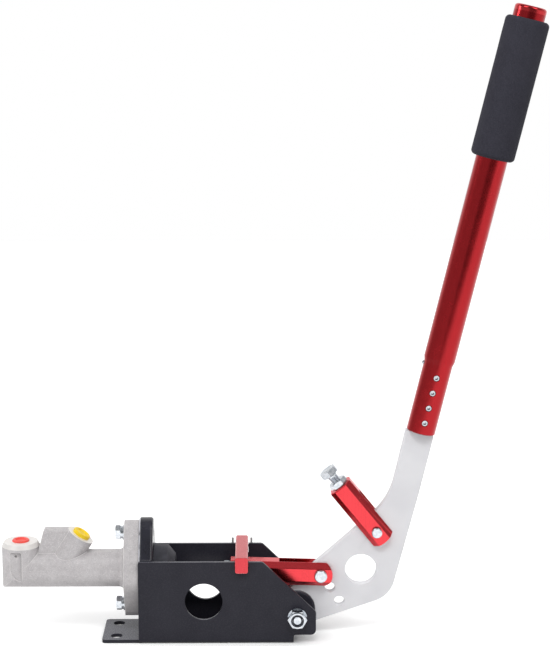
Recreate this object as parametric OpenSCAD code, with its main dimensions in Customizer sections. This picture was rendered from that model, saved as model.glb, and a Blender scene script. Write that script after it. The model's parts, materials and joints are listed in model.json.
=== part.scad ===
// Hydraulic parking brake lever: a hand lever on a folded bracket pushes a master cylinder.
// Millimetres. X runs from the cylinder to the handle, Y across the bracket, Z up from the floor.
// The origin is the middle of the bracket's mounting face.

/* [Bracket] */
// Outside width of the bracket
bracket_width = 50; // [44:1:60]
// Sheet thickness of the bracket
sheet = 2.5; // [2:0.5:4]
// Height of the side walls
wall_height = 65.1; // [55:0.1:75]
// Length of the side walls
wall_length = 136.3; // [120:0.1:150]
// Length of the bracket's floor
floor_length = 119.2; // [100:0.1:130]
// Radius of the large hole in each wall
wall_hole_radius = 14.5; // [8:0.5:18]
// Length of the foot tab
foot_length = 28.5; // [20:0.5:40]
// Width of the foot tab
foot_width = 46.6; // [36:0.2:50]
// Radius of the mounting holes
mount_hole_radius = 4.5; // [3:0.1:6]
// Thickness of the front plate
front_thickness = 11; // [6:0.5:14]
// Height of the front plate's round top
front_height = 93.3; // [88:0.1:100]

/* [Master cylinder] */
// Height of the cylinder's axis
axis_height = 52.9; // [48:0.1:56]
// Outside radius of the cast body
body_radius = 14.6; // [13:0.1:17]
// Length of the cast body in front of the flange face
body_length = 106.7; // [90:0.1:120]
// Bore of the cylinder, 19.05 is the common three-quarter inch
bore_diameter = 19.05; // [15.9:0.05:22.2]
// Distance between the flange bolts
flange_spacing = 57.15; // [50:0.05:64]
// Thickness of the flange
flange_thickness = 11.5; // [8:0.5:14]

/* [Lever] */
// Lever plate thickness
plate_thickness = 8; // [6:0.5:10]
// Distance from the pivot to the used angle hole
crank_radius = 33.1; // [30:0.1:36]
// Angle of the used hole above the floor
crank_angle = 56.2; // [50:0.1:60]
// Distance between neighbouring angle holes
hole_pitch = 13.3; // [12:0.1:15]
// Lean of the handle from upright
handle_lean = 13.44; // [5:0.01:20]
// Length of the handle with its end cap
handle_length = 331; // [250:1:350]
// Outside diameter of the handle tube
tube_diameter = 24; // [22:0.1:28]
// Outside diameter of the tube's lower end
tube_neck_diameter = 22.1; // [20:0.1:24]
// Outside diameter of the grip
grip_diameter = 33.4; // [30:0.1:38]
// Length of the grip
grip_length = 102.7; // [90:0.1:120]

/* [Clevises] */
// Side of the square clevis bar
clevis_side = 18.5; // [18:0.5:22]
// Chamfer along the clevis edges
clevis_chamfer = 4.1; // [1:0.1:5]
// Gap between a clevis cheek and the lever plate, on each side
clevis_gap = 0.4; // [0.3:0.05:0.8]
// Direction of the lock strut above the floor
strut_angle = 129; // [120:0.5:135]

/* [Hidden] */
$fn = 72;
front_x = -45;
inner_half = bracket_width / 2 - sheet;
pivot = [front_x + 121.9, 21.2];
crank = pivot + crank_radius * [cos(crank_angle), sin(crank_angle)];
strut_pivot = [front_x + 183.4, 83.6];
ball = [front_x + 8, axis_height];
rod_length = norm(crank - ball);
rod_tilt = atan2(ball[1] - crank[1], crank[0] - ball[0]);
handle_foot = [171.7, 161];
plate_half = plate_thickness / 2;
slot_half = plate_half + clevis_gap;
clevis_half = clevis_side / 2;
boss_radius = 14.6;
crank_boss_radius = 9.4;
lock_bar_x = front_x + 79.2;
lock_bar_width = 9.8;
lock_bar_top = 69.7;
lock_bar_base = 57.3;
step_screw_height = 53.6;
lock_pin = [26.9, 62];
lock_pin_radius = 0.9;
bore_radius = bore_diameter / 2;
outlet_face = 74.9;
bolt_radius = 4;
flange_bolt_radius = 3;
fit = 0.05;
red = [0.72, 0.05, 0.08];
black = [0.08, 0.08, 0.09];
steel = [0.75, 0.76, 0.78];
cast = [0.66, 0.66, 0.64];
rubber = [0.14, 0.14, 0.15];

function unit(v) = v / norm(v);
function turn(a, b) = a[0] * b[1] - a[1] * b[0];
function polar(r, a) = r * [cos(a), sin(a)];
// Direction of the normal of the line that touches two circles on the left of the way from a to b
function tangent_angle(a, ra, b, rb) = atan2((b - a)[1], (b - a)[0]) + acos((ra - rb) / norm(b - a));

// Outline with true arcs: each corner is [x, y, radius], listed anticlockwise
module rounded_outline(corners) {
    n = len(corners);
    p = [for (c = corners) [c[0], c[1]]];
    back = [for (i = [0 : n - 1]) unit(p[(i + n - 1) % n] - p[i])];
    ahead = [for (i = [0 : n - 1]) unit(p[(i + 1) % n] - p[i])];
    half = [for (i = [0 : n - 1]) acos(back[i] * ahead[i]) / 2];
    reach = [for (i = [0 : n - 1]) corners[i][2] / tan(half[i])];
    centre = [for (i = [0 : n - 1]) p[i] + unit(back[i] + ahead[i]) * corners[i][2] / sin(half[i])];
    side = [for (i = [0 : n - 1]) turn(ahead[i], back[i])];
    difference() {
        union() {
            polygon([for (i = [0 : n - 1]) each reach[i] > 0
                ? [p[i] + back[i] * reach[i], p[i] + ahead[i] * reach[i]]
                : [p[i]]]);
            for (i = [0 : n - 1]) {
                if (reach[i] > 0 && side[i] > 0) {
                    corner_sector(p[i], back[i] * reach[i], ahead[i] * reach[i], centre[i], corners[i][2]);
                }
            }
        }
        for (i = [0 : n - 1]) {
            if (reach[i] > 0 && side[i] < 0) {
                corner_sector(p[i], back[i] * reach[i], ahead[i] * reach[i], centre[i], corners[i][2]);
            }
        }
    }
}

// The sector of a corner's circle between its two tangent points, cut along two radii
module corner_sector(p, back, ahead, centre, r) {
    intersection() {
        translate(centre) circle(r = r);
        polygon([
            centre,
            centre + 3 * (p + back - centre),
            centre + 4 * r * unit(p - centre),
            centre + 3 * (p + ahead - centre)]);
    }
}

// A side view outline [x, z] given a width across Y
module across(width) {
    rotate([90, 0, 0]) linear_extrude(height = width, center = true) children();
}

// A cross section [y, z] drawn along X
module along(length) {
    rotate([90, 0, 90]) linear_extrude(height = length) children();
}

module at(p) {
    translate([p[0], 0, p[1]]) children();
}

// A round bar along Y between two Y values
module cross_bar(p, r, y0, y1) {
    translate([p[0], y1, p[1]]) rotate([90, 0, 0]) cylinder(r = r, h = y1 - y0);
}

// A round bar along X between two X values on the cylinder's axis
module axial(r, x0, x1) {
    translate([x0, 0, axis_height]) rotate([0, 90, 0]) cylinder(r = r, h = x1 - x0);
}

module hexagon(flats, h) {
    cylinder(r = flats / sqrt(3), h = h, $fn = 6);
}

// Hexagon with both ends turned down to a round edge
module hex_body(flats, h) {
    bevel = 0.7;
    intersection() {
        hexagon(flats, h);
        union() {
            cylinder(r1 = flats / 2, r2 = flats / 2 + bevel * 1.7, h = bevel);
            translate([0, 0, bevel]) cylinder(r = flats / 2 + bevel * 1.7, h = h - 2 * bevel);
            translate([0, 0, h - bevel]) cylinder(r1 = flats / 2 + bevel * 1.7, r2 = flats / 2, h = bevel);
        }
    }
}

module hex_nut(flats, h, hole) {
    difference() {
        hex_body(flats, h);
        translate([0, 0, -1]) cylinder(r = hole, h = h + 2);
    }
}

module ring(r_out, r_in, h) {
    difference() {
        cylinder(r = r_out, h = h);
        translate([0, 0, -1]) cylinder(r = r_in, h = h + 2);
    }
}

module chamfered_square(side, c) {
    h = side / 2;
    polygon([
        [h - c, -h], [h, c - h], [h, h - c], [h - c, h],
        [c - h, h], [-h, h - c], [-h, c - h], [c - h, -h]]);
}

// Push clevis frame: X runs from the rod to the used angle hole
module link_frame() {
    at(crank) rotate([0, rod_tilt, 0]) children();
}

// Lock strut frame: X runs from its pin to its bolt
module strut_frame() {
    at(strut_pivot) rotate([0, -strut_angle, 0]) children();
}

// Handle frame: Z runs up the tube from its lower end
module handle_frame() {
    at(handle_foot) rotate([0, handle_lean, 0]) children();
}

module wall_outline() {
    difference() {
        translate([front_x, 0]) rounded_outline([
            [0, 0, 0],
            [floor_length, 0, 0],
            [floor_length, 6.8, 1.5],
            [wall_length, 6.8, 4],
            [wall_length, 25.2, 3],
            [95.2, wall_height, 4],
            [0, wall_height, 1.5]]);
        translate([front_x + 50.1, 33.5]) circle(r = wall_hole_radius);
        translate(pivot) circle(r = bolt_radius + 0.2);
        translate([lock_bar_x - lock_bar_width / 2 - 0.2, lock_bar_base])
            square([lock_bar_width + 0.4, 20]);
    }
}

module channel_section() {
    difference() {
        rounded_outline([
            [-bracket_width / 2, 0, 3],
            [bracket_width / 2, 0, 3],
            [bracket_width / 2, wall_height + 5, 0],
            [-bracket_width / 2, wall_height + 5, 0]]);
        rounded_outline([
            [-inner_half, sheet, 1],
            [inner_half, sheet, 1],
            [inner_half, wall_height + 10, 0],
            [-inner_half, wall_height + 10, 0]]);
    }
}

module base_bracket() {
    color(black) difference() {
        union() {
            intersection() {
                translate([front_x - 1, 0, 0]) along(wall_length + 5) channel_section();
                across(bracket_width + 10) wall_outline();
            }
            translate([front_x, 0, 0]) linear_extrude(height = sheet) rounded_outline([
                [-foot_length, -foot_width / 2, 3],
                [2, -foot_width / 2, 0],
                [2, foot_width / 2, 0],
                [-foot_length, foot_width / 2, 3]]);
        }
        for (x = [front_x - 17.8, front_x + 92]) {
            for (y = [-14, 14]) {
                translate([x, y, -1]) cylinder(r = mount_hole_radius, h = sheet + 2);
            }
        }
    }
}

// Slab under one sloping edge of the front plate, with its outer corners rounded
module front_slope(tip, tip_radius, lean, edge) {
    translate([front_x, 0, tip]) rotate([lean, 0, 0])
        linear_extrude(height = 300, center = true) rounded_outline([
            [0, -100, 0],
            [front_thickness, -100, 0],
            [front_thickness, tip_radius, edge],
            [0, tip_radius, edge]]);
}

// Upright plate with sloping shoulders and a round tip, its edges rounded all round
module front_plate() {
    half = inner_half;
    edge = 2;
    foot = sheet + 1;
    tip_radius = 11.9;
    lean = 30;
    lap = 0.02;
    tip = front_height - tip_radius;
    far = [100 * cos(lean), tip + 100 * sin(lean)];
    color(black) difference() {
        union() {
            intersection() {
                translate([front_x, 0, foot]) linear_extrude(height = front_height) rounded_outline([
                    [0, -half, edge],
                    [front_thickness, -half, edge],
                    [front_thickness, half, edge],
                    [0, half, edge]]);
                front_slope(tip, tip_radius, lean, edge);
                mirror([0, 1, 0]) front_slope(tip, tip_radius, lean, edge);
                translate([front_x - 1, 0, 0]) along(front_thickness + 2)
                    polygon([[-100, 0], [100, 0], far, [0, tip], [-far[0], far[1]]]);
            }
            translate([front_x, 0, tip]) rotate([0, 90, 0]) rotate_extrude() rounded_outline([
                [0, lap, 0],
                [tip_radius - lap, lap, edge - lap],
                [tip_radius - lap, front_thickness - lap, edge - lap],
                [0, front_thickness - lap, 0]]);
        }
        axial(body_radius + 0.2, front_x - 1, front_x + front_thickness + 1);
        for (side = [-1, 1]) {
            translate([front_x - 1, 0, axis_height + side * flange_spacing / 2])
                rotate([0, 90, 0]) cylinder(r = flange_bolt_radius, h = front_thickness + 2);
        }
    }
}

module flange_outline() {
    eye = [0, flange_spacing / 2];
    eye_radius = 9.7;
    hub_radius = 24;
    right = tangent_angle(eye, eye_radius, [0, 0], hub_radius);
    a = eye + polar(eye_radius, right);
    b = polar(hub_radius, right);
    difference() {
        union() {
            circle(r = hub_radius);
            translate(eye) circle(r = eye_radius);
            translate(-eye) circle(r = eye_radius);
            polygon([
                b, a, [-a[0], a[1]], [-b[0], b[1]],
                [-b[0], -b[1]], [-a[0], -a[1]], [a[0], -a[1]], [b[0], -b[1]]]);
        }
        translate(eye) circle(r = flange_bolt_radius + 0.3);
        translate(-eye) circle(r = flange_bolt_radius + 0.3);
    }
}

module outlet_frame() {
    translate([front_x - 92, 0, 0]) children();
}

// Inlet boss frame: Z runs out of the tilted boss, zero at its face
module inlet_frame() {
    translate([front_x - 45.4, 0, 79.6]) rotate([0, 33, 0]) children();
}

// Hollow round corner where the cast body meets its flange
module flange_fillet() {
    r = 5;
    lap = 0.1;
    translate([front_x - flange_thickness, 0, axis_height]) rotate([0, -90, 0]) rotate_extrude()
        difference() {
            translate([body_radius - 2, -2]) square([r + 2, r + 2]);
            translate([body_radius + r - lap, r - lap]) circle(r = r);
        }
}

// Outlet boss: an upright round boss whose lower end follows the body
module outlet_boss(r, top) {
    bevel = 3.4;
    lap = 0.03;
    low = axis_height - body_radius;
    outlet_frame() {
        translate([0, 0, axis_height]) cylinder(r = r, h = top - bevel - axis_height);
        translate([0, 0, top - bevel]) cylinder(r1 = r, r2 = r - 1.6, h = bevel);
        intersection() {
            translate([0, 0, low - 1]) cylinder(r = r, h = axis_height - low + 2);
            axial(body_radius - lap, -20, 20);
            across(40) rounded_outline([
                [-r + 0.1, low, 4],
                [20, low, 0],
                [20, axis_height + 2, 0],
                [-r + 0.1, axis_height + 2, 0]]);
        }
    }
}

// Raised block that carries the tilted inlet boss, with a low web to the outlet boss
module inlet_block() {
    half = 5.5;
    top = 85.1;
    translate([front_x, 0, 0]) {
        intersection() {
            across(40) polygon([
                [-80.4, 57.8], [-49, 57.8], [-49, 78], [-54.2, top + 1],
                [-72.5, top + 1], [-74, top - 1.4], [-77.6, 69.9]]);
            translate([-90, 0, 0]) along(50) rounded_outline([
                [-half, axis_height, 0],
                [half, axis_height, 0],
                [half, top, 2.2],
                [-half, top, 2.2]]);
        }
        across(7) polygon([[-86, 58], [-72, 58], [-72, 69.6], [-77, 69.6], [-79.6, 73], [-86, 73]]);
    }
}

module master_cylinder() {
    boss_top = outlet_face;
    outlet_radius = 14.7;
    color(cast) difference() {
        union() {
            axial(body_radius, front_x - 92, front_x + front_thickness);
            flange_fillet();
            translate([front_x - flange_thickness, 0, axis_height])
                along(flange_thickness) flange_outline();
            axial(13.6, front_x + front_thickness - 1, front_x + 18);
            outlet_boss(outlet_radius, boss_top);
            inlet_block();
            inlet_frame() translate([0, 0, -26]) cylinder(r = 11, h = 26);
        }
        axial(bore_radius, front_x - 82, front_x + 20);
        axial(10.3, front_x + 13.4, front_x + 14.8);
        outlet_frame() translate([0, 0, axis_height]) cylinder(r = 4, h = 30);
        outlet_frame() translate([0, 0, boss_top - 9]) cylinder(r = 5.05, h = 20);
        axial(3.5, front_x - 93, front_x - 80);
        translate([front_x, -outlet_radius - 1.9, 0]) across(8) polygon([
            [-98.9, 54.3], [-97.8, 50.9], [-95.8, 48.2], [-93, 46.5], [-89.9, 45.8],
            [-89.9, 68.7], [-90.7, 69.5], [-98.1, 69.5], [-98.9, 68.7]]);
        cross_bar([front_x - 94.4, 66.2], 1.1, -14, -11.2);
        inlet_frame() translate([0, 0, -10]) cylinder(r = 6.05, h = 20);
        inlet_frame() translate([0, 0, -28]) cylinder(r = 2, h = 30);
    }
}

// Plug with a dished cap, Z runs out of the hole, zero at its seat
module dished_plug(stem, cap, h) {
    rotate_extrude() polygon([
        [0, -8], [stem, -8], [stem, 0], [cap, 0], [cap, h - 0.6], [cap - 0.6, h], [cap - 2, h],
        [cap - 2.8, h - 1], [0, h - 1]]);
}

module outlet_plug() {
    color(red) outlet_frame() translate([0, 0, outlet_face]) dished_plug(5, 6.6, 1.3);
}

module inlet_plug() {
    color([0.85, 0.66, 0.1]) inlet_frame() dished_plug(6, 7, 2.8);
}

module flange_bolts() {
    under = 2.8;
    color(steel) for (side = [-1, 1]) {
        translate([front_x - flange_thickness - under, 0, axis_height + side * flange_spacing / 2])
            rotate([0, 90, 0]) {
                translate([0, 0, -4.2]) hex_body(10, 4.2);
                cylinder(r = flange_bolt_radius - fit, h = under + flange_thickness + front_thickness - 1);
            }
    }
}

// A spring washer on a plain washer under each bolt head
module flange_washers() {
    plain = 1.2;
    spring = 1.6;
    color(steel) for (side = [-1, 1]) {
        translate([front_x - flange_thickness - plain, 0, axis_height + side * flange_spacing / 2])
            rotate([0, 90, 0]) {
                ring(5.8, flange_bolt_radius + 0.2, plain);
                translate([0, 0, -spring]) ring(4.9, flange_bolt_radius + 0.2, spring);
            }
    }
}

module dust_boot() {
    start = front_thickness + 0.2;
    color(rubber) translate([front_x, 0, axis_height]) rotate([0, 90, 0]) rotate_extrude() polygon([
        [13.7, start], [18.2, start], [18.2, 22], [11.3, 27.8], [7, 27.8],
        [7, 25.6], [10.3, 25.6], [15, 21.4], [15, 18.6], [13.7, 18.6]]);
}

module stop_washer() {
    color(steel) translate([front_x + 11.9, 0, axis_height]) rotate([0, 90, 0])
        ring(bore_radius - 0.1, 7.2, 1.4);
}

module circlip() {
    color(steel) difference() {
        translate([front_x + 13.5, 0, axis_height]) rotate([0, 90, 0]) ring(10.2, 8.2, 1.2);
        translate([front_x + 13, -2, axis_height - 12]) cube([3, 4, 6]);
    }
}

// Helix as rings of points round a rising circle
module return_spring() {
    start = front_x - 81.5;
    free = 52;
    coils = 9;
    coil_radius = 6.6;
    wire = 0.9;
    steps = 20 * coils;
    sides = 8;
    points = [for (i = [0 : steps]) let (a = 360 * coils * i / steps) for (j = [0 : sides - 1])
        let (b = 360 * j / sides, r = coil_radius + wire * cos(b))
        [start + wire + (free - 2 * wire) * i / steps + wire * sin(b),
            r * cos(a), axis_height + r * sin(a)]];
    faces = concat(
        [[for (j = [0 : sides - 1]) j]],
        [for (i = [0 : steps - 1]) for (j = [0 : sides - 1]) let (k = (j + 1) % sides)
            [i * sides + j, (i + 1) * sides + j, (i + 1) * sides + k, i * sides + k]],
        [[for (j = [sides - 1 : -1 : 0]) steps * sides + j]]);
    color(steel) polyhedron(points = points, faces = faces, convexity = 10);
}

module piston() {
    color(steel) translate([front_x, 0, axis_height]) rotate([0, 90, 0]) rotate_extrude() polygon([
        [0, -24], [9.49, -24], [9.49, -4.6], [7.4, -4.6], [7.4, -1.6], [9.49, -1.6], [9.49, 11], [7.4, 11],
        [7.4, 4.2], [5, 2.4], [0, 2.4]]);
}

module primary_cup() {
    color(rubber) translate([front_x, 0, axis_height]) rotate([0, 90, 0]) rotate_extrude() polygon([
        [0, -26], [6, -26], [7.6, -29], [9.5, -29.4], [9.5, -24], [0, -24]]);
}

module secondary_seal() {
    color(rubber) translate([front_x - 4.5, 0, axis_height]) rotate([0, 90, 0]) ring(9.5, 7.4, 2.8);
}

module pushrod() {
    color(steel) link_frame() {
        translate([-rod_length, 0, 0]) sphere(r = 4.5);
        translate([-rod_length, 0, 0]) rotate([0, 90, 0]) cylinder(r = 3, h = 9);
        translate([-rod_length + 8, 0, 0]) rotate([0, 90, 0])
            cylinder(r1 = 3, r2 = bolt_radius - fit, h = 2);
        translate([-rod_length + 10, 0, 0]) rotate([0, 90, 0])
            cylinder(r = bolt_radius - fit, h = rod_length - 10 - 46);
    }
}

module push_jam_nut() {
    color(steel) link_frame() translate([-75.4, 0, 0]) rotate([0, 90, 0]) hex_nut(13, 4.8, bolt_radius);
}

// Wide prism along X whose far end has both its edges broken
module broken_end(tail, half) {
    c = 0.7;
    out = half + 2;
    in = half - c - 1;
    across(4 * half) polygon([
        [-out, -out], [tail - c - 2, -out], [tail + 1, -in],
        [tail + 1, in], [tail - c - 2, out], [-out, out]]);
}

// Square bar slotted from its rounded nose, with broken edges at its tail
module clevis(tail, slot_reach, pin_radius, nose_reach, nose_radius) {
    corner = (clevis_side - clevis_chamfer) / sqrt(2) + 0.2;
    difference() {
        intersection() {
            translate([-nose_reach, 0, 0])
                along(tail + nose_reach) chamfered_square(clevis_side, clevis_chamfer);
            across(clevis_side + 2) union() {
                intersection() {
                    translate([nose_radius - nose_reach, 0]) circle(r = nose_radius);
                    translate([-nose_reach, -clevis_half]) square([nose_reach + 1, clevis_side]);
                }
                translate([0, -clevis_half]) square([tail + 1, clevis_side]);
            }
            broken_end(tail, clevis_half);
            rotate([45, 0, 0]) broken_end(tail, corner);
            rotate([90, 0, 0]) broken_end(tail, clevis_half);
            rotate([135, 0, 0]) broken_end(tail, corner);
        }
        translate([-nose_reach - 1, -slot_half, -clevis_half - 1])
            cube([slot_reach + nose_reach + 1, 2 * slot_half, clevis_side + 2]);
        cross_bar([0, 0], pin_radius + fit, -clevis_side, clevis_side);
        translate([slot_reach - 1, 0, 0]) rotate([0, 90, 0]) cylinder(r = bolt_radius, h = tail);
    }
}

module push_clevis() {
    color(red) link_frame() mirror([1, 0, 0]) clevis(70.5, 32.3, 4, clevis_half, 11);
}

// Headed pin along Y, with a groove for its clip
module headed_pin(r, head_r, reach) {
    difference() {
        union() {
            cross_bar([0, 0], r, -reach, reach + 3);
            cross_bar([0, 0], head_r, -reach - 2.2, -reach);
            translate([0, -reach - 2.2, 0]) rotate([90, 0, 0])
                cylinder(r1 = head_r, r2 = head_r - 0.6, h = 0.6);
        }
        translate([0, reach + 1.6, 0]) rotate([90, 0, 0]) ring(r + 1, r - 0.7, 1.1);
    }
}

module pin_clip(r, reach) {
    color(steel) difference() {
        translate([0, reach + 1.5, 0]) rotate([90, 0, 0]) ring(r + 2, r - 0.6, 0.9);
        translate([-1.6, reach, -r - 3]) cube([3.2, 3, r + 1]);
    }
}

module crank_pin() {
    color(steel) link_frame() headed_pin(4, 4.9, clevis_half + 0.05);
}

module crank_pin_clip() {
    link_frame() pin_clip(4, clevis_half + 0.05);
}

module pivot_bolt() {
    half = bracket_width / 2 + 1.6;
    color(steel) {
        cross_bar(pivot, bolt_radius - fit, -half - 6.4, half + 0.1);
        translate([pivot[0], -half - 6.3, pivot[1]]) rotate([90, 0, 0])
            cylinder(r1 = bolt_radius - fit, r2 = bolt_radius - 1.1, h = 1.1);
        translate([pivot[0], half + 5.3, pivot[1]]) rotate([90, 0, 0]) hex_body(13, 5.3);
    }
}

module pivot_nut() {
    face = -bracket_width / 2 - 1.6;
    color(steel) difference() {
        union() {
            translate([pivot[0], face, pivot[1]]) rotate([90, 0, 0]) hex_body(13, 6.2);
            cross_bar(pivot, 6.1, face - 8, face - 6);
        }
        cross_bar(pivot, bolt_radius, face - 9, face + 1);
        cross_bar(pivot, 5.2, face - 7.6, face - 5.6);
        cross_bar(pivot, 4.95, face - 9, face - 7);
    }
}

module pivot_nut_ring() {
    face = -bracket_width / 2 - 1.6;
    color([0.12, 0.16, 0.3]) translate([pivot[0], face - 5.7, pivot[1]]) rotate([90, 0, 0])
        ring(5.1, bolt_radius, 1.8);
}

module pivot_washers() {
    color(steel) for (y = [-bracket_width / 2, bracket_width / 2 + 1.6]) {
        translate([pivot[0], y, pivot[1]]) rotate([90, 0, 0]) ring(7.4, bolt_radius + 0.2, 1.6);
    }
}

module pivot_spacers() {
    inside = plate_half + 0.3;
    disc = 14.3;
    color(black) for (side = [0, 1]) mirror([0, side, 0]) difference() {
        union() {
            cross_bar(pivot, disc, -inside - 3, -inside);
            translate([pivot[0], -inside - 3, pivot[1]]) rotate([90, 0, 0])
                cylinder(r1 = disc, r2 = disc - 1, h = 1);
            cross_bar(pivot, 8, -inner_half, -inside - 3);
        }
        cross_bar(pivot, bolt_radius, -inner_half - 1, 0);
    }
}

module pivot_bush() {
    color([0.7, 0.5, 0.25]) translate([pivot[0], plate_half, pivot[1]]) rotate([90, 0, 0])
        ring(6, bolt_radius, plate_thickness);
}

module lever_outline() {
    floor_line = 18.9;
    slope_line = 41.6;
    hole_row = -56.6;
    lap = 0.02;
    normal = tangent_angle(pivot, boss_radius, crank, crank_boss_radius);
    low = pivot + polar(boss_radius - lap, floor_line - 90);
    slope = crank + polar(crank_boss_radius - lap, slope_line + 90);
    crank_side = crank + polar(crank_boss_radius - lap, normal);
    boss_side = pivot + polar(boss_radius - lap, normal);
    heel = low + polar(71.8, floor_line);
    neck = slope + polar(78.4, slope_line);
    difference() {
        union() {
            rounded_outline([
                [low[0], low[1], 0],
                [heel[0], heel[1], 22],
                [170.8, 112.8, 0],
                [181.6, 158.6, 1],
                [160.5, 163.6, 1],
                [neck[0], neck[1], 55],
                [slope[0], slope[1], 0],
                [crank_side[0], crank_side[1], 0],
                [boss_side[0], boss_side[1], 0]]);
            translate(pivot) circle(r = boss_radius);
            translate(crank) circle(r = crank_boss_radius);
            translate(handle_foot) rotate(-handle_lean) translate([-8, -4]) square([16, 56]);
        }
        translate(pivot) circle(r = 6);
        for (i = [0 : 2]) {
            translate(crank + polar(i * hole_pitch, hole_row)) circle(r = 4 + fit);
        }
        translate(strut_pivot) circle(r = 3 + fit);
        translate([front_x + 171.6, 52.2]) circle(r = 12.2);
    }
}

module lever_plate() {
    color([0.78, 0.78, 0.78]) across(plate_thickness) lever_outline();
}

module handle_tube() {
    neck = tube_neck_diameter / 2;
    tube = tube_diameter / 2;
    top = handle_length - 4.5;
    color(red) handle_frame() difference() {
        rotate_extrude() polygon([
            [9.1, 0.3], [neck - 0.6, 0.3], [neck, 0.9], [neck, 55.5], [tube, 59], [tube, top],
            [tube - 2, top], [tube - 2, 60], [9.1, 56]]);
        for (i = [0 : 3]) {
            translate([0, 0, 9.5 + 12 * i]) rotate([90, 0, 0]) cylinder(r = 2.5, h = 20);
        }
        translate([0, 0, step_screw_height]) rotate([0, -90, 0]) cylinder(r = 1.5, h = 20);
    }
}

module socket_screw(r, length, flats) {
    difference() {
        union() {
            cylinder(r = r, h = length - 0.5);
            translate([0, 0, length - 0.5]) cylinder(r1 = r, r2 = r - 0.4, h = 0.5);
        }
        translate([0, 0, length - 2.4]) hexagon(flats, 3);
    }
}

module tube_screws() {
    color(steel) handle_frame() for (i = [0 : 3]) {
        translate([0, -plate_half, 9.5 + 12 * i]) rotate([90, 0, 0]) socket_screw(2.5 - fit, 6.7, 2.5);
    }
}

module step_screw() {
    color(steel) handle_frame() translate([-8.05, 0, step_screw_height])
        rotate([0, -90, 0]) socket_screw(1.5 - fit, 4.2, 1.5);
}

module foam_grip() {
    r_in = tube_diameter / 2;
    color(rubber) handle_frame() translate([0, 0, 217.5]) rotate_extrude() rounded_outline([
        [r_in, 0, 0],
        [grip_diameter / 2, 0, 4],
        [grip_diameter / 2, grip_length, 4],
        [r_in, grip_length, 0]]);
}

module end_cap() {
    r = tube_diameter / 2;
    color(red) handle_frame() translate([0, 0, handle_length - 4.5]) {
        rotate_extrude() rounded_outline([
            [0, 0, 0],
            [r, 0, 0],
            [r, 4.5, 2.4],
            [0, 4.5, 0]]);
        translate([0, 0, -12]) cylinder(r = r - 2.05, h = 12.5);
    }
}

module strut_clevis() {
    color(red) strut_frame() clevis(45.3, 32, 3, 10.6, 20);
}

module strut_pin() {
    color(steel) strut_frame() headed_pin(3, 4, clevis_half + 0.05);
}

module strut_pin_clip() {
    strut_frame() pin_clip(3, clevis_half + 0.05);
}

module strut_bolt() {
    color(steel) strut_frame() rotate([0, 90, 0]) {
        translate([0, 0, 56]) hex_body(13, 5.3);
        translate([0, 0, 26.8]) cylinder(r = bolt_radius - fit, h = 29.7);
        translate([0, 0, 26]) cylinder(r1 = bolt_radius - 0.8, r2 = bolt_radius - fit, h = 0.8);
    }
}

module strut_jam_nut() {
    color(steel) strut_frame() translate([45.4, 0, 0]) rotate([0, 90, 0]) hex_nut(13, 4.4, bolt_radius);
}

module lock_bar() {
    near = -28.6;
    far = 29.4;
    half = lock_bar_width / 2;
    c = 0.9;
    color(red) difference() {
        translate([lock_bar_x, (near + far) / 2, 0]) across(far - near) polygon([
            [-half, lock_bar_base + c], [c - half, lock_bar_base],
            [half - c, lock_bar_base], [half, lock_bar_base + c],
            [half, lock_bar_top - c], [half - c, lock_bar_top],
            [c - half, lock_bar_top], [-half, lock_bar_top - c]]);
        translate([lock_bar_x - 10, 0.5 - inner_half, lock_bar_base - 1])
            cube([20, 2 * inner_half - 1, 9.6]);
        translate([lock_bar_x - 10, lock_pin[0], lock_pin[1]]) rotate([0, 90, 0])
            cylinder(r = lock_pin_radius + fit, h = 20);
    }
}

// Wire pin through the end of the lock bar, both ends turned up
module lock_bar_pin() {
    reach = 8.3;
    leg = 6.5;
    leg_radius = lock_pin_radius - 0.05;
    color(steel) translate([lock_bar_x, lock_pin[0], lock_pin[1]]) {
        translate([-reach, 0, 0]) rotate([0, 90, 0]) cylinder(r = lock_pin_radius, h = 2 * reach);
        for (side = [-1, 1]) {
            translate([side * (reach - lock_pin_radius), 0, 0]) cylinder(r = leg_radius, h = leg);
        }
    }
}

base_bracket();
front_plate();
master_cylinder();
outlet_plug();
inlet_plug();
flange_bolts();
flange_washers();
dust_boot();
stop_washer();
circlip();
return_spring();
piston();
primary_cup();
secondary_seal();
pushrod();
push_jam_nut();
push_clevis();
crank_pin();
crank_pin_clip();
pivot_bolt();
pivot_nut();
pivot_nut_ring();
pivot_washers();
pivot_spacers();
pivot_bush();
lever_plate();
handle_tube();
tube_screws();
step_screw();
foam_grip();
end_cap();
strut_clevis();
strut_pin();
strut_pin_clip();
strut_bolt();
strut_jam_nut();
lock_bar();
lock_bar_pin();
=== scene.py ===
import json
import math

import bpy
from mathutils import Matrix, Vector, noise

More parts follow.
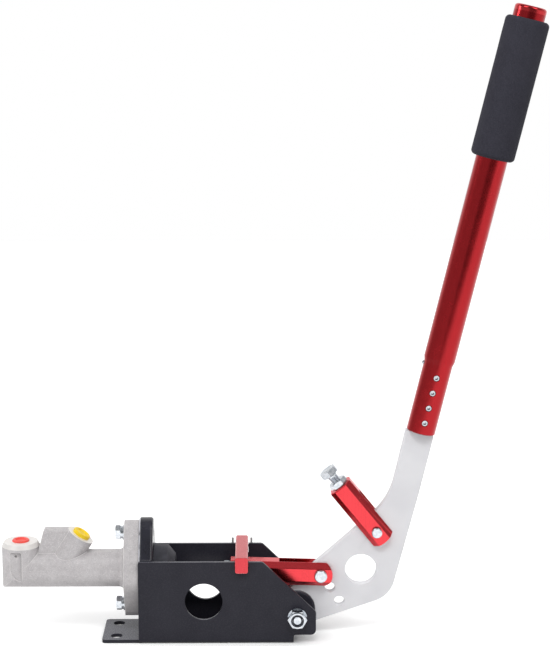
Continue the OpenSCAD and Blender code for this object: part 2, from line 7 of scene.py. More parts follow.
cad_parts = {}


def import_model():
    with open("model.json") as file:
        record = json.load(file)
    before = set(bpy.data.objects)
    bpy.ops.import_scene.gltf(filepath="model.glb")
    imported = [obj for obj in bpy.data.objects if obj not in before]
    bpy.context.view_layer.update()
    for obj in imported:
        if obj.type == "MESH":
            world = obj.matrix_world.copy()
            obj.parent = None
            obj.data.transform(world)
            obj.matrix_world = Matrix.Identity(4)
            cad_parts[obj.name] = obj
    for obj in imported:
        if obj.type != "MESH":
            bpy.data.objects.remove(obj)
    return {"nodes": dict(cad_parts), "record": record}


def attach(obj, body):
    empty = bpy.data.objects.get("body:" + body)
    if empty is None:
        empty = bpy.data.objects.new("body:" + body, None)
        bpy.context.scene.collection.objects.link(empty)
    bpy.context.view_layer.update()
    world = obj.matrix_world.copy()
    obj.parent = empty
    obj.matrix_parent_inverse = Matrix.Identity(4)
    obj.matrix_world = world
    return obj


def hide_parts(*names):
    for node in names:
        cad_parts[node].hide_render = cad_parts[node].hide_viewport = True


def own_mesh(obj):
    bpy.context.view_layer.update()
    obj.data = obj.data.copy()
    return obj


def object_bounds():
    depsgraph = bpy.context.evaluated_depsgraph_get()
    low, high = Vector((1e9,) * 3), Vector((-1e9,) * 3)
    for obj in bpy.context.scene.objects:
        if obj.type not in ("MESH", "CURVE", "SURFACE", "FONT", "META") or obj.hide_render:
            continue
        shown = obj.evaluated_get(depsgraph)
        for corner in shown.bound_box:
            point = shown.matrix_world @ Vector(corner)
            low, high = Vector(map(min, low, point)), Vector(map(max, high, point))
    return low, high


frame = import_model()
cad_low, cad_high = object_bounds()
nodes = frame["nodes"]
scene = bpy.context.scene
scene.view_settings.view_transform = "Standard"

MM = 0.001
RIGHT_ANGLE = math.pi / 2

# Places in the part's frame, as (x, z) in mm
HANDLE_FOOT = (171.7, 161)
HANDLE_LEAN = math.radians(13.44)
STRUT_PIN = (138.4, 83.6)
STRUT_ANGLE = math.radians(129)
CRANK_PIN = (95.314, 48.705)
ROD_TILT = math.radians(1.816)
ROD_LENGTH = 132.38
BORE_HEIGHT = 52.9
INLET_TILT = math.radians(33)

# Brightness of the floor and of the world's sides, where 1 is white
FLOOR_GLOW = 0.72
WORLD_FRONT = 0.2
WORLD_TOP = 0.42
WORLD_LEFT = 0.5
WORLD_RIGHT = 0.8
WORLD_BACK = 1.0
WINDOW = 2.8

# Sockets of the Mix node for each kind of value: first, second, result
MIX_SOCKETS = {"FLOAT": (2, 3, 0), "VECTOR": (4, 5, 1), "RGBA": (6, 7, 2)}
SHADING_SAMPLES = 8


# Node trees and materials

class Nodes:
    """Short calls that add nodes to one node tree."""

    def __init__(self, tree):
        self.tree = tree

    def node(self, kind, **settings):
        n = self.tree.nodes.new("ShaderNode" + kind)
        for key, value in settings.items():
            setattr(n, key, value)
        return n

    def link(self, out, socket):
        self.tree.links.new(out, socket)

    def feed(self, socket, value):
        """Links an output to a socket, or sets the socket to a plain value."""
        if isinstance(value, bpy.types.NodeSocket):
            self.link(value, socket)
        else:
            socket.default_value = value

    def ramp(self, value, low, high, out_low=0.0, out_high=1.0, shape="LINEAR"):
        n = self.node("MapRange", interpolation_type=shape)
        n.inputs["From Min"].default_value = low
        n.inputs["From Max"].default_value = high
        n.inputs["To Min"].default_value = out_low
        n.inputs["To Max"].default_value = out_high
        self.link(value, n.inputs["Value"])
        return n.outputs["Result"]

    def math(self, operation, a, b):
        n = self.node("Math", operation=operation)
        self.feed(n.inputs[0], a)
        self.feed(n.inputs[1], b)
        return n.outputs["Value"]

    def vectors(self, operation, a, b, result="Vector"):
        n = self.node("VectorMath", operation=operation)
        self.feed(n.inputs[0], a)
        self.feed(n.inputs[1], b)
        return n.outputs[result]

    def dot(self, a, b):
        return self.vectors("DOT_PRODUCT", a, b, "Value")

    def mix_node(self, kind, factor, a, b):
        first, second, result = MIX_SOCKETS[kind]
        n = self.node("Mix", data_type=kind)
        self.link(factor, n.inputs["Factor"])
        self.feed(n.inputs[first], a)
        self.feed(n.inputs[second], b)
        return n.outputs[result]


class Mat(Nodes):
    """A Principled material and short calls for its surface."""

    def __init__(self, name, color, metallic=0.0, roughness=0.5, **inputs):
        self.material = bpy.data.materials.new(name)
        self.material.use_nodes = True
        super().__init__(self.material.node_tree)
        self.shader = self.tree.nodes["Principled BSDF"]
        self.shader.inputs["Base Color"].default_value = (*color, 1)
        self.shader.inputs["Metallic"].default_value = metallic
        self.shader.inputs["Roughness"].default_value = roughness
        for key, value in inputs.items():
            self.shader.inputs[key.replace("_", " ")].default_value = value
        self.coord = self.node("TexCoord").outputs["Object"]
        self.normal = None

    def stretched(self, scale, turn):
        n = self.node("Mapping")
        n.inputs["Scale"].default_value = scale
        n.inputs["Rotation"].default_value = turn
        self.link(self.coord, n.inputs["Vector"])
        return n.outputs["Vector"]

    def noise(self, scale, detail=4.0, roughness=0.55, vector=None):
        n = self.node("TexNoise")
        n.inputs["Scale"].default_value = scale
        n.inputs["Detail"].default_value = detail
        n.inputs["Roughness"].default_value = roughness
        self.link(vector or self.coord, n.inputs["Vector"])
        return n.outputs["Fac"]

    def cells(self, scale):
        n = self.node("TexVoronoi")
        n.inputs["Scale"].default_value = scale
        self.link(self.coord, n.inputs["Vector"])
        return n.outputs["Distance"]

    def mix(self, factor, a, b):
        """A colour between a and b; each is an output or three numbers."""
        a, b = ((*c, 1) if isinstance(c, tuple) else c for c in (a, b))
        return self.mix_node("RGBA", factor, a, b)

    def beyond(self, point, direction):
        """1 on the far side of a plane through point, 0 on the near side."""
        shift = self.vectors("SUBTRACT", self.coord, point)
        return self.math("GREATER_THAN", self.dot(shift, direction), 0.0)

    def own_normal(self):
        return self.node("NewGeometry").outputs["Normal"]

    def use_normal(self, out):
        self.normal = out
        self.link(out, self.shader.inputs["Normal"])

    def soft_edges(self, radius):
        """Rounds the shading of sharp and hollow edges, as a casting's are."""
        n = self.node("Bevel", samples=SHADING_SAMPLES)
        n.inputs["Radius"].default_value = radius
        self.use_normal(n.outputs["Normal"])

    def straighten(self, origin, axis, low, high):
        """Shades a short cone between two heights on an axis as if the tube ran straight on."""
        shift = self.vectors("SUBTRACT", self.coord, origin)
        height = self.dot(shift, axis)
        along = self.node("VectorMath", operation="SCALE")
        along.inputs[0].default_value = axis
        self.link(height, along.inputs["Scale"])
        radial = self.vectors("SUBTRACT", shift, along.outputs["Vector"])
        turned = self.node("VectorTransform", vector_type="NORMAL",
                           convert_from="OBJECT", convert_to="WORLD")
        self.link(radial, turned.inputs["Vector"])
        unit = self.node("VectorMath", operation="NORMALIZE")
        self.link(turned.outputs["Vector"], unit.inputs[0])
        inside = self.math("MULTIPLY", self.math("GREATER_THAN", height, low),
                           self.math("LESS_THAN", height, high))
        self.use_normal(self.mix_node("VECTOR", inside, self.own_normal(), unit.outputs["Vector"]))

    def edge_wear_and_highlight(self):
        """1 where the softened normal leaves the surface's own, along edges; the materials paint
        these edges pale, partly as wear and partly as a painted highlight.
        """
        unmarked, wear_and_highlight = 0.995, 0.93
        return self.ramp(self.dot(self.normal, self.own_normal()), unmarked, wear_and_highlight)

    def open_face(self, reach):
        """1 on open faces, 0 in the hollow corners between two shapes."""
        n = self.node("AmbientOcclusion", samples=SHADING_SAMPLES)
        n.inputs["Distance"].default_value = reach
        hollow, clear = 0.6, 0.92
        return self.ramp(n.outputs["AO"], hollow, clear)

    def facing_up(self):
        """0 on walls, 1 on level faces."""
        split = self.node("SeparateXYZ")
        self.link(self.own_normal(), split.inputs["Vector"])
        sloping, flat = 0.9, 0.99
        return self.ramp(split.outputs["Z"], sloping, flat)

    def color(self, out):
        self.link(out, self.shader.inputs["Base Color"])

    def rough(self, out):
        self.link(out, self.shader.inputs["Roughness"])

    def bump(self, height, strength, depth):
        """Adds relief on top of the normal that the material has so far."""
        n = self.node("Bump")
        n.inputs["Strength"].default_value = strength
        n.inputs["Distance"].default_value = depth
        self.link(height, n.inputs["Height"])
        if self.normal is not None:
            self.link(self.normal, n.inputs["Normal"])
        self.use_normal(n.outputs["Normal"])


def scaled(color, factor, lift=0.0):
    """The colour times a factor plus a lift, no channel above 1."""
    return tuple(min(1, c * factor + lift) for c in color)


def powder_coat():
    """Black coat with a fine grain, with painted light: level faces are painted paler for the light
    they catch.
    """
    m = Mat("powder_coat", (0.03, 0.03, 0.04), roughness=0.3, Specular_IOR_Level=0.14)
    m.soft_edges(0.0005)
    broad = m.noise(60, detail=3)
    fine = m.noise(1500, detail=3, roughness=0.6)
    dark, light, level = (0.0235, 0.023, 0.0315), (0.029, 0.0285, 0.038), (0.1, 0.1, 0.117)
    coat = m.mix(m.ramp(broad, 0.35, 0.7), dark, light)
    # painted light: a paler colour on level faces stands in for the light that falls on them
    m.color(m.mix(m.facing_up(), coat, level))
    m.rough(m.ramp(fine, 0.3, 0.7, 0.2, 0.32))
    m.bump(fine, strength=0.2, depth=0.0001)
    return m


def gloss_coat():
    """Black gloss coat with a painted highlight: a pale strip along the front plate's near corner,
    and its edges painted pale, partly as rubbed-through coat and partly as painted highlight.
    """
    m = Mat("gloss_coat", (0.012, 0.012, 0.018), roughness=0.2, Specular_IOR_Level=0.6)
    m.soft_edges(0.0007)
    broad = m.noise(60, detail=3)
    fine = m.noise(900, detail=3, roughness=0.6)
    dark, light, bare_metal_and_highlight = (0.014, 0.014, 0.021), (0.02, 0.02, 0.03), (0.5, 0.5, 0.54)
    corner_start, corner_end = -0.04495, -0.0438
    coat = m.mix(m.ramp(broad, 0.35, 0.7), dark, light)
    # painted highlight: a pale strip along the front plate's near corner stands in for the bright
    # line that edge reflects
    corner = m.math("MULTIPLY", m.beyond((corner_end, 0, 0), (-1, 0, 0)),
                    m.beyond((corner_start, 0, 0), (1, 0, 0)))
    # the corner strip and the pale edges together: partly rubbed-through coat, partly painted
    # highlight
    wear_and_highlight = m.math("MAXIMUM", corner, m.math("MULTIPLY", m.edge_wear_and_highlight(), 0.45))
    wear_and_highlight = m.math("MULTIPLY", wear_and_highlight, m.ramp(m.noise(240, detail=3), 0.2, 0.5))
    m.color(m.mix(wear_and_highlight, coat, bare_metal_and_highlight))
    m.rough(m.ramp(fine, 0.3, 0.7, 0.16, 0.26))
    m.bump(fine, strength=0.1, depth=0.0001)
    return m


def cast_metal():
    """Sand cast body with bright machined faces on the outlet and inlet bosses."""
    m = Mat("cast_aluminium", (0.55, 0.54, 0.54), metallic=0.3, roughness=0.5)
    m.soft_edges(0.0011)
    sand = m.noise(2600, detail=5, roughness=0.65)
    pits = m.cells(1300)
    flow = m.noise(300, detail=4, roughness=0.6)
    patches = m.noise(55, detail=3, roughness=0.5)
    painted_glints = m.noise(1900, detail=2, roughness=0.5)
    stains = m.noise(900, detail=3, roughness=0.6)

    tone = m.mix(m.ramp(flow, 0.35, 0.68), (0.48, 0.458, 0.466), (0.56, 0.536, 0.542))
    tone = m.mix(m.ramp(patches, 0.5, 0.75, 0.0, 0.4), tone, (0.65, 0.626, 0.63))
    # painted highlight: sparse pale specks in the colour stand in for sparkles of light on the cast
    # grain
    tone = m.mix(m.ramp(painted_glints, 0.56, 0.7, 0.0, 0.7), tone, (0.8, 0.785, 0.79))
    tone = m.mix(m.ramp(stains, 0.56, 0.72, 0.0, 0.5), tone, (0.36, 0.35, 0.365))
    # painted shade: the colour darkens in the hollow corners between shapes, where ambient
    # occlusion finds little open space
    hollow_share = 0.3
    hollow = m.math("SUBTRACT", hollow_share, m.math("MULTIPLY", m.open_face(0.004), hollow_share))
    tone = m.mix(hollow, tone, (0.2, 0.19, 0.195))
    # pale edges, partly wear and partly a painted highlight along the edges
    tone = m.mix(m.math("MULTIPLY", m.edge_wear_and_highlight(), 0.85), tone, (0.84, 0.815, 0.815))

    inlet_up = (math.sin(INLET_TILT), 0, math.cos(INLET_TILT))
    outlet = m.math("MULTIPLY", m.beyond((0, 0, 0.0715), (0, 0, 1)),
                    m.beyond((-0.1222, 0, 0), (-1, 0, 0)))
    inlet = m.math("MULTIPLY", m.beyond((-0.0904, 0, 0.0793), inlet_up),
                   m.beyond((-0.0775, 0, 0), (-1, 0, 0)))
    machined = m.math("MAXIMUM", outlet, inlet)
    m.color(m.mix(machined, tone, (0.8, 0.775, 0.75)))
    m.rough(m.math("SUBTRACT", m.ramp(sand, 0.3, 0.7, 0.42, 0.62),
                   m.math("MULTIPLY", machined, 0.12)))
    rough_cast = m.math("SUBTRACT", 1.0, m.math("MULTIPLY", machined, 0.8))
    for relief, strength, depth in ((flow, 0.2, 0.0004), (pits, 0.1, 0.0003), (sand, 0.45, 0.0002)):
        m.bump(m.math("MULTIPLY", relief, rough_cast), strength, depth)
    return m


def red_anodised(name, turn, base, rough, coat=0.1, edge=0.0, step=None):
    """Red anodised metal, drawn along one direction; where edge is set, its edges are painted pale,
    partly as wear and partly as a painted highlight.
    """
    m = Mat(name, base, metallic=1.0, roughness=rough, Coat_Weight=coat, Coat_Roughness=0.12)
    if step:
        m.straighten(*step)
    drawn = m.noise(300, detail=4, roughness=0.6, vector=m.stretched((5, 5, 0.06), turn))
    tone = m.mix(m.ramp(drawn, 0.3, 0.7), scaled(base, 0.93), scaled(base, 1.04, 0.002))
    if edge:
        m.soft_edges(edge)
        # pale edges, partly wear and partly a painted highlight along the edges
        tone = m.mix(m.math("MULTIPLY", m.edge_wear_and_highlight(), 0.6), tone, (0.95, 0.5, 0.52))
    m.color(tone)
    m.rough(m.ramp(m.noise(140, detail=3), 0.3, 0.7, rough - 0.03, rough + 0.04))
    m.bump(drawn, strength=0.03, depth=0.0001)
    return m


def satin_plate():
    """Bead-blasted aluminium plate."""
    m = Mat("satin_aluminium", (0.72, 0.72, 0.74), metallic=0.2, roughness=0.5)
    blast = m.noise(2600, detail=3, roughness=0.6)
    broad = m.noise(28, detail=3, roughness=0.5)
    m.color(m.mix(m.ramp(broad, 0.35, 0.68), (0.71, 0.708, 0.735), (0.78, 0.778, 0.8)))
    m.rough(m.ramp(blast, 0.3, 0.7, 0.42, 0.58))
    m.bump(blast, strength=0.25, depth=0.00012)
    return m


def zinc_steel():
    """Zinc plated steel with a faint spangle."""
    m = Mat("zinc_steel", (0.6, 0.62, 0.65), metallic=1.0, roughness=0.24)
    spangle = m.noise(420, detail=4, roughness=0.6)
    fine = m.noise(3000, detail=2)
    m.color(m.mix(m.ramp(spangle, 0.35, 0.7), (0.54, 0.58, 0.63), (0.75, 0.77, 0.8)))
    m.rough(m.ramp(fine, 0.3, 0.7, 0.16, 0.3))
    m.bump(spangle, strength=0.1, depth=0.0002)
    return m


def turned_metal(name, base, rough):
    m = Mat(name, base, metallic=1.0, roughness=rough)
    grain = m.noise(2400, detail=3, roughness=0.6)
    m.color(m.mix(m.ramp(grain, 0.3, 0.7), scaled(base, 0.85), scaled(base, 1.1)))
    m.bump(grain, strength=0.15, depth=0.0001)
    return m


def rubber(name, base, rough=0.62):
    """Dull skin with a faint bloom; also serves for the weathered pin wire."""
    m = Mat(name, base, roughness=rough)
    bloom = m.noise(150)
    skin = m.noise(1800, detail=3, roughness=0.6)
    m.color(m.mix(m.ramp(bloom, 0.35, 0.7), scaled(base, 0.85), scaled(base, 1.2, 0.004)))
    m.rough(m.ramp(skin, 0.3, 0.7, rough - 0.08, rough + 0.1))
    m.bump(skin, strength=0.2, depth=0.0002)
    return m


def foam():
    """Black foam rubber with open cells."""
    m = Mat("foam_rubber", (0.02, 0.02, 0.025), roughness=0.9, Specular_IOR_Level=0.25)
    cell = m.cells(1900)
    grain = m.noise(1300, detail=5, roughness=0.7)
    broad = m.noise(45, detail=3)
    tone = m.mix(m.ramp(broad, 0.35, 0.7), (0.026, 0.0255, 0.035), (0.034, 0.0335, 0.045))
    m.color(m.mix(m.ramp(grain, 0.42, 0.72), tone, (0.045, 0.044, 0.058)))
    m.bump(cell, strength=0.35, depth=0.0004)
    m.bump(grain, strength=0.4, depth=0.0004)
    return m


def plastic(name, base):
    """Moulded plastic, slightly translucent."""
    m = Mat(name, base, roughness=0.38, Subsurface_Weight=0.08,
            Subsurface_Radius=(0.002, 0.001, 0.001), Subsurface_Scale=0.5)
    cloud = m.noise(220, detail=3)
    skin = m.noise(1600, detail=3, roughness=0.6)
    m.color(m.mix(m.ramp(cloud, 0.35, 0.7), scaled(base, 0.9), scaled(base, 1.07)))
    m.rough(m.ramp(skin, 0.3, 0.7, 0.32, 0.46))
    m.bump(skin, strength=0.12, depth=0.0002)
    return m


ALONG_X = (0, math.radians(90), 0)
ALONG_Y = (math.radians(90), 0, 0)
ALONG_HANDLE = (0, -HANDLE_LEAN, 0)
# The tube's short cone: a point and direction of its axis, lower and upper height in metres
TUBE_STEP = ((HANDLE_FOOT[0] * MM, 0, HANDLE_FOOT[1] * MM),
             (math.sin(HANDLE_LEAN), 0, math.cos(HANDLE_LEAN)), 0.0546, 0.0599)

# The look of each material slot, then the nodes that have a look of their own
MATERIALS = {
    "black_coat": powder_coat(),
    "cast_aluminium": cast_metal(),
    "satin_aluminium": satin_plate(),
    "zinc_steel": zinc_steel(),
    "rubber": rubber("boot_rubber", (0.036, 0.036, 0.046)),
    "foam": foam(),
    "red_plastic": plastic("red_cap", (0.85, 0.08, 0.06)),
    "yellow_plastic": plastic("yellow_cap", (0.88, 0.62, 0.01)),
    "nylon": plastic("nylon_ring", (0.02, 0.022, 0.035)),
    "bronze": turned_metal("bronze", (0.55, 0.36, 0.16), 0.35),
    "red_anodised": red_anodised("red_anodised", ALONG_X, (0.74, 0.056, 0.068), 0.24,
                                 edge=0.0005),
}
OWN_LOOKS = {
    "handle_tube": red_anodised("red_anodised_tube", ALONG_HANDLE, (0.39, 0.0165, 0.0215), 0.24,
                                step=TUBE_STEP),
    "end_cap": red_anodised("red_anodised_cap", ALONG_HANDLE, (0.6, 0.04, 0.046), 0.2),
    "front_plate": gloss_coat(),
    "lock_bar": red_anodised("red_anodised_bar", ALONG_Y, (0.6, 0.045, 0.058), 0.28,
                             coat=0.4, edge=0.0005),
    "lock_bar_pin": rubber("pin_wire", (0.32, 0.33, 0.33), rough=0.4),
}

for row in frame["record"]["subparts"]:
    node = nodes[row["node"]]
    look = OWN_LOOKS.get(row["node"], MATERIALS[row["material_slot"]])
    node.data.materials.clear()
    node.data.materials.append(look.material)


# Small edge rounds on the CAD nodes, in mm

EDGE_ROUNDS = {"lever_plate": 0.35, "push_clevis": 0.3, "strut_clevis": 0.3, "lock_bar": 0.3}
WELD_DISTANCE = 1e-6
ROUNDED_ABOVE = math.radians(32)
for name, width in EDGE_ROUNDS.items():
    weld = nodes[name].modifiers.new("weld", "WELD")
    weld.merge_threshold = WELD_DISTANCE
    edge = nodes[name].modifiers.new("edge", "BEVEL")
    edge.width = width * MM
    edge.segments = 2
    edge.limit_method = "ANGLE"
    edge.angle_limit = ROUNDED_ABOVE
    edge.use_clamp_overlap = False
    edge.miter_outer = "MITER_ARC"
    edge.harden_normals = True


# Pieces that stand in for plain CAD solids, with sizes in mm

def frame_matrix(place, turn_y):
    """Puts a piece that is turned about z on an axis through place, leaning in the xz plane."""
    shift = Matrix.Translation(Vector((place[0], 0, place[1])) * MM)
    return shift @ Matrix.Rotation(turn_y, 4, "Y")


HANDLE = frame_matrix(HANDLE_FOOT, HANDLE_LEAN)
STRUT = frame_matrix(STRUT_PIN, RIGHT_ANGLE - STRUT_ANGLE)
ROD = frame_matrix(CRANK_PIN, ROD_TILT + RIGHT_ANGLE)
BOLT_STEPS = 48
BOLT_RADIUS = 3.95
BOLT_PITCH = 1.25


def lathe(rows, steps, place, ring=False):
    """Faces between rows of (radius, height); either may be a list, one value per step."""
    verts, faces, starts = [], [], []
    for radius, height in rows:
        count = 1 if radius == 0 else steps
        starts.append((len(verts), count))
        for i in range(count):
            a = 2 * math.pi * i / steps
            r = radius[i] if isinstance(radius, list) else radius
            z = height[i] if isinstance(height, list) else height
            verts.append(place @ (Vector((r * math.cos(a), r * math.sin(a), z)) * MM))
    pairs = list(zip(starts, starts[1:]))
    if ring:
        pairs.append((starts[-1], starts[0]))
    for (low_start, low_count), (top_start, top_count) in pairs:
        for i in range(steps):
            j = (i + 1) % steps
            corners = [low_start + i % low_count, low_start + j % low_count,
                       top_start + j % top_count, top_start + i % top_count]
            faces.append(list(dict.fromkeys(corners)))
    return verts, faces


def thread_rows(start, end):
    """Rows of a single start V thread between two heights, run out to full size at both ends."""
    depth = 0.58 * BOLT_PITCH
    rows_per_turn, run_out = 8, 1.2
    root_flat, flank = 0.1, 0.8
    count = math.ceil((end - start) / BOLT_PITCH * rows_per_turn)
    rows = []
    for k in range(count + 1):
        z = start + (end - start) * k / count
        full = max(0.0, min(1.0, (z - start) / run_out, (end - z) / run_out))
        radii = []
        for i in range(BOLT_STEPS):
            phase = (z / BOLT_PITCH - i / BOLT_STEPS) % 1
            crest = min(1.0, max(0.0, (abs(phase - 0.5) * 2 - root_flat) / flank))
            radii.append(BOLT_RADIUS - depth * full * (1 - crest))
        rows.append((radii, z))
    return rows


def hex_rows(flats, low, top):
    """Rows of a hexagon head with both ends turned to a round edge."""
    half = flats / 2
    sixth = math.pi / 3
    washer_face, chamfer_start, chamfer_slope = 0.15, 0.98, 0.58
    radii = []
    for i in range(BOLT_STEPS):
        off_flat = (2 * math.pi * i / BOLT_STEPS + sixth / 2) % sixth - sixth / 2
        radii.append(half / math.cos(off_flat))
    drop = [max(0.0, r - half * chamfer_start) * chamfer_slope for r in radii]
    return [(half * 0.94, low), (half * 0.96, low + washer_face),
            (radii, [low + washer_face + d for d in drop]),
            (radii, [top - d for d in drop]), (half * 0.95, top)]


def add_piece(name, shape, body, slot, replaced, sharp):
    mesh = bpy.data.meshes.new(name)
    mesh.from_pydata(shape[0], [], shape[1])
    mesh.shade_smooth()
    mesh.set_sharp_from_angle(angle=math.radians(sharp))
    obj = bpy.data.objects.new(name, mesh)
    scene.collection.objects.link(obj)
    mesh.materials.append(MATERIALS[slot].material)
    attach(obj, body)
    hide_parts(replaced)
    return obj


def grip():
    """Foam sleeve with round ends, faintly uneven along its length as soft foam is."""
    inner, outer, start, length, corner = 12.0, 16.7, 216.1, 105.4, 3.3
    mouth, soft_depth = 0.4, 3
    steps, arc_rows, side_rows = 120, 8, 60
    sunk, wave_height, cell_height = 0.12, 0.1, 0.05
    wave_round, wave_along, cell_scale = 2.2, 0.09, 0.9
    end = start + length
    arc = [RIGHT_ANGLE * k / arc_rows for k in range(arc_rows + 1)]
    profile = [(inner, start), (inner + mouth, start)]
    profile += [(outer - corner + corner * math.sin(a), start + corner - corner * math.cos(a))
                for a in arc]
    profile += [(outer, start + corner + (length - 2 * corner) * k / side_rows)
                for k in range(1, side_rows)]
    profile += [(outer - corner + corner * math.cos(a), end - corner + corner * math.sin(a))
                for a in arc]
    profile.append((inner, end))
    rows = []
    for r, z in profile:
        soft = min(1.0, max(0.0, (r - inner) / soft_depth))
        radii = []
        for i in range(steps):
            a = 2 * math.pi * i / steps
            x, y = math.cos(a), math.sin(a)
            wave = noise.noise(Vector((wave_round * x, wave_round * y, z * wave_along)))
            cell = noise.noise(Vector((r * x * cell_scale, r * y * cell_scale, z * cell_scale)))
            radii.append(r - soft * (sunk + wave_height * wave + cell_height * cell))
        rows.append((radii, z))
    shape = lathe(rows, steps, HANDLE, ring=True)
    foam_grip = add_piece("grip_foam", shape, "lever", "foam", "foam_grip", 60)


def lock_bolt():
    """Hex bolt of the lock strut, with its thread and a dished head."""
    tip, chamfer, thread_start, thread_end = 26, 0.9, 27, 54.6
    neck, head, top, flats = 55.9, 56, 61.3, 13
    dish_rim, dish_floor, dish_depth = 5.2, 4.9, 0.2
    rows = [(0, tip), (BOLT_RADIUS - chamfer, tip), (BOLT_RADIUS, tip + chamfer)]
    rows += thread_rows(thread_start, thread_end)
    rows += [(BOLT_RADIUS, neck)] + hex_rows(flats, head, top)
    rows += [(dish_rim, top), (dish_floor, top - dish_depth), (0, top - dish_depth)]
    shape = lathe(rows, BOLT_STEPS, STRUT)
    add_piece("lock_bolt_threaded", shape, "lock_bolt", "zinc_steel", "strut_bolt", 35)


def push_rod():
    """Rod from the clevis to the piston, with its thread and its ball end."""
    ball, ball_rows, ball_steps = 4.5, 18, 24
    neck, neck_start, neck_end, shoulder, thread_start = 3, 3.6, 8, 10, 12
    end, chamfer = -46.0, 0.8
    rows = [(0, -ROD_LENGTH - ball)]
    for k in range(1, ball_rows + 1):
        a = math.pi * k / ball_steps
        rows.append((ball * math.sin(a), -ROD_LENGTH - ball * math.cos(a)))
    rows += [(neck, -ROD_LENGTH + neck_start), (neck, -ROD_LENGTH + neck_end),
             (BOLT_RADIUS, -ROD_LENGTH + shoulder)]
    rows += thread_rows(-ROD_LENGTH + thread_start, end - 1)
    rows += [(BOLT_RADIUS, end - chamfer), (BOLT_RADIUS - chamfer, end), (0, end)]
    shape = lathe(rows, BOLT_STEPS, ROD)
    add_piece("push_rod_threaded", shape, "push_link", "zinc_steel", "pushrod", 35)


def return_spring():
    """Coil spring with closed ends in the bore."""
    start, length, radius, wire, turns = -126.5, 52.0, 6.6, 0.9, 9
    axis_height = BORE_HEIGHT
    per_turn, sides = 36, 12
    steps = turns * per_turn
    closed = 1.9
    pitch = (length - 2 * wire - 2 * closed) / (turns - 2)
    verts, faces = [], []
    for i in range(steps + 1):
        turn = i / per_turn
        first, last = min(turn, 1), max(turn - turns + 1, 0)
        middle = min(max(turn - 1, 0), turns - 2)
        along = closed * first + pitch * middle + closed * last
        a = 2 * math.pi * turn
        for k in range(sides):
            b = 2 * math.pi * k / sides
            r = radius + wire * math.cos(b)
            verts.append(Vector((start + wire + along + wire * math.sin(b),
                                 r * math.cos(a), axis_height + r * math.sin(a))) * MM)
    for i in range(steps):
        near, far = i * sides, (i + 1) * sides
        for k in range(sides):
            after = (k + 1) % sides
            faces.append([near + k, far + k, far + after, near + after])
    faces.append(list(range(sides)))
    faces.append(list(range(steps * sides + sides - 1, steps * sides - 1, -1)))
    shape = (verts, faces)
    coil = add_piece("return_spring_coil", shape, "base", "zinc_steel", "return_spring", 40)
    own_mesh(coil)


grip()
lock_bolt()
push_rod()
return_spring()


# Stage, light and camera

def stage():
    """Pale floor which glows white to the rays that show it and keeps the object's shadow; its glow
    dims by ambient occlusion near the object, a painted shadow.
    """
    left, right, front, back = -2.4, 2.4, -1.22, 2.2
    below = 0.0002
    shadow_reach = 0.09
    mesh = bpy.data.meshes.new("floor")
    corners = [(left, front, 0), (right, front, 0), (right, back, 0), (left, back, 0)]
    mesh.from_pydata(corners, [], [(0, 1, 2, 3)])
    floor = bpy.data.objects.new("floor", mesh)
    floor.location.z = cad_low.z - below
    scene.collection.objects.link(floor)

    material = bpy.data.materials.new("floor_white")
    material.use_nodes = True
    material.node_tree.nodes.clear()
    n = Nodes(material.node_tree)
    grain = n.node("TexNoise")
    grain.inputs["Scale"].default_value = 6
    paint = n.node("BsdfDiffuse")
    n.link(n.ramp(grain.outputs["Fac"], 0, 1, 0.58, 0.62), paint.inputs["Color"])
    near = n.node("AmbientOcclusion")
    near.inputs["Distance"].default_value = shadow_reach
    path = n.node("LightPath")
    seen = path.outputs["Is Camera Ray"]
    for ray in ("Is Glossy Ray", "Is Transmission Ray"):
        seen = n.math("MAXIMUM", seen, path.outputs[ray])
    # painted shadow: the glow fades near the object by ambient occlusion
    glow = n.node("Emission")
    n.link(n.math("MULTIPLY", seen, n.ramp(near.outputs["AO"], 0, 1, 0, FLOOR_GLOW)),
           glow.inputs["Strength"])
    add = n.node("AddShader")
    n.link(paint.outputs["BSDF"], add.inputs[0])
    n.link(glow.outputs["Emission"], add.inputs[1])
    out = n.node("OutputMaterial")
    n.link(add.outputs["Shader"], out.inputs["Surface"])
    mesh.materials.append(material)


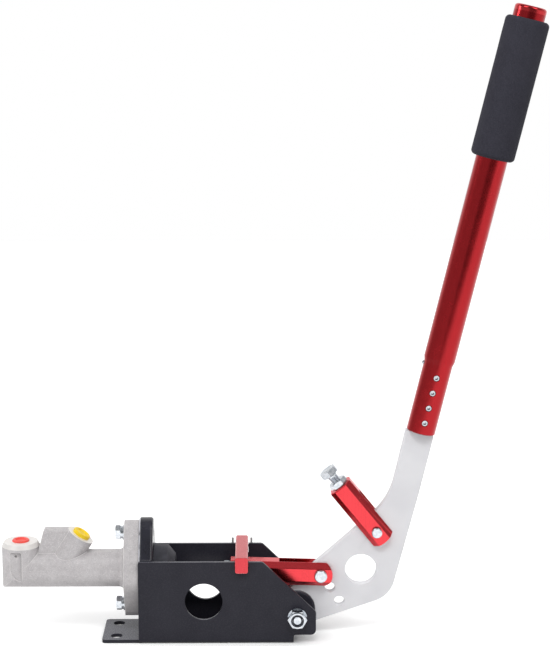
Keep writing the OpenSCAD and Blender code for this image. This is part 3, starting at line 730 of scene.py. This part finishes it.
def world():
    """White to the camera and behind; darker in front, with two bright windows high up there."""
    studio = bpy.data.worlds.new("studio")
    scene.world = studio
    studio.use_nodes = True
    studio.node_tree.nodes.clear()
    n = Nodes(studio.node_tree)
    direction = n.node("TexCoord").outputs["Generated"]
    split = n.node("SeparateXYZ")
    n.link(direction, split.inputs["Vector"])

    def band(axis, start, end, low, high):
        return n.ramp(split.outputs[axis], start, end, low, high, "SMOOTHSTEP")

    def window(towards):
        rim, inside = 0.955, 0.975
        facing = n.dot(direction, Vector(towards).normalized())
        return n.ramp(facing, rim, inside, 0, WINDOW, "SMOOTHSTEP")

    level = band("Z", 0.2, 0.5, 1.0, 0.0)
    sides = n.math("MAXIMUM", band("X", -0.02, -0.4, 0.0, WORLD_LEFT),
                   band("X", 0.35, 0.75, 0.0, WORLD_RIGHT))
    light = n.math("MULTIPLY", sides, level)
    light = n.math("MAXIMUM", light, band("Y", 0.1, 0.7, WORLD_FRONT, WORLD_BACK))
    light = n.math("MAXIMUM", light, band("Z", 0.75, 0.97, WORLD_FRONT, WORLD_TOP))
    for towards in ((-0.45, -0.5, 0.7), (0.5, -0.5, 0.7)):
        light = n.math("MAXIMUM", light, window(towards))
    camera_ray = n.node("LightPath").outputs["Is Camera Ray"]
    sky = n.node("Background")
    sky.inputs["Color"].default_value = (1, 1, 1, 1)
    n.link(n.mix_node("FLOAT", camera_ray, light, 1.0), sky.inputs["Strength"])
    out = n.node("OutputWorld")
    n.link(sky.outputs["Background"], out.inputs["Surface"])


def lamp(name, place, aim, size, power, mirrored):
    data = bpy.data.lights.new(name, "AREA")
    data.shape = "RECTANGLE"
    data.size, data.size_y = size
    data.energy = power
    obj = bpy.data.objects.new(name, data)
    obj.location = place
    obj.rotation_mode = "QUATERNION"
    obj.rotation_quaternion = (Vector(aim) - Vector(place)).to_track_quat("-Z", "Y")
    obj.visible_camera = False
    obj.visible_glossy = mirrored
    scene.collection.objects.link(obj)


def photo_camera():
    """The camera at the photograph's viewing angle."""
    eye = bpy.data.cameras.new("camera")
    eye.sensor_width = 36
    eye.lens = 99.2
    eye.clip_end = 20
    camera = bpy.data.objects.new("camera", eye)
    camera.location = (0.04756, -1.327, 0.49448)
    camera.rotation_euler = (math.radians(79.404), 0, math.radians(-0.538))
    scene.collection.objects.link(camera)
    scene.camera = camera


# Name, place, aim, width and height in metres, watts, whether reflections show it
LAMPS = (
    ("key_box", (0.05, -0.95, 1.5), (0.05, 0, 0.12), (0.45, 0.35), 11.9, False),
    ("left_box", (-1.35, -0.75, 0.75), (0, 0, 0.2), (0.4, 0.9), 3, False),
    ("left_top", (-1.15, 0.05, 0.95), (0, 0, 0.1), (0.3, 0.3), 2.5, True),
    ("right_box", (1.2, -1.1, 0.6), (0.1, 0, 0.2), (0.5, 0.7), 1, False),
)

stage()
world()
for settings in LAMPS:
    lamp(*settings)
photo_camera()
